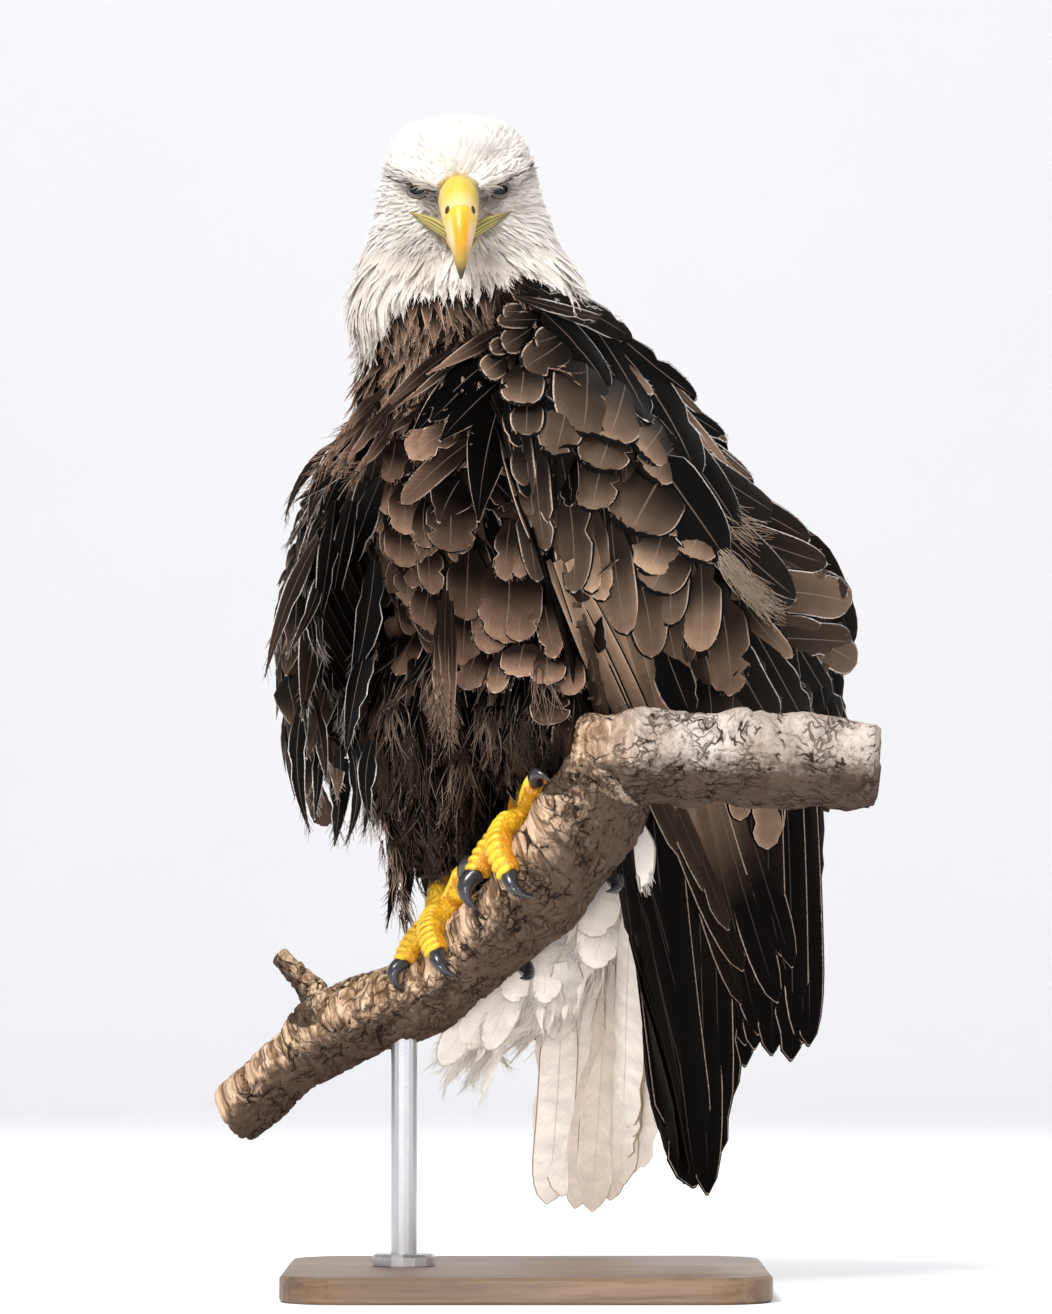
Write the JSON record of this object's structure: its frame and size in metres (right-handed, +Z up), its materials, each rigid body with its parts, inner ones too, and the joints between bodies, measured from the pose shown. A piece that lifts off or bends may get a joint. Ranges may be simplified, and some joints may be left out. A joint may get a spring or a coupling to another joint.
{
  "type": "bald eagle on a perch",
  "caption": "Life-size bald eagle, head to the front and one wing drooped, gripping a cut branch held by a rod on a flat base.",
  "frame": {"origin": "centre of the base's underside, on the floor", "axes": "+Z up; the head looks along -Y; the bird's left and the branch's upper arm lie towards +X"},
  "size_m": [0.4546, 0.4287, 0.796],
  "materials": {
    "white_plumage": "soft white head feathers, matt",
    "brown_plumage": "dark brown body feathers with pale tan edges, matt with a slight sheen",
    "dark_plumage": "blackish brown shaggy feathers, matt",
    "flight_feathers": "blackish brown long feathers with thin pale shafts, slight sheen",
    "tail_plumage": "creamy white feathers with faint grey streaks, matt",
    "bare_skin": "scaly yellow skin, satin",
    "bill_horn": "yellow horn, dark at the tip, semi-gloss",
    "claw_horn": "black grey horn, semi-gloss",
    "eye": "pale yellow iris with a black pupil, wet gloss",
    "bark": "dry cracked grey tan bark, rough",
    "stand_wood": "dark stained hardwood, satin",
    "stand_steel": "brushed"
  },
  "bodies": {
    "root": {"stand_base": "stand_wood", "stand_rod": "stand_steel", "perch_branch": "bark", "head": "white_plumage", "neck": "brown_plumage", "trunk": "brown_plumage", "bill_upper": "bill_horn", "bill_lower": "bill_horn", "cere": "bare_skin", "gape_left": "bare_skin", "gape_right": "bare_skin", "eye_left": "eye", "eye_right": "eye", "thigh_left": "dark_plumage", "thigh_right": "dark_plumage", "foot_left": "bare_skin", "foot_right": "bare_skin", "tail": "tail_plumage", "undertail_coverts": "tail_plumage", "claw_left_inner": "claw_horn", "claw_left_middle": "claw_horn", "claw_left_outer": "claw_horn", "claw_left_hind": "claw_horn", "wing_left_coverts": "brown_plumage", "wing_left_secondaries": "flight_feathers", "wing_left_primaries": "flight_feathers", "claw_right_inner": "claw_horn", "claw_right_middle": "claw_horn", "claw_right_outer": "claw_horn", "claw_right_hind": "claw_horn", "wing_right_coverts": "brown_plumage", "wing_right_secondaries": "flight_feathers", "wing_right_primaries": "flight_feathers"}
  },
  "joints": []
}
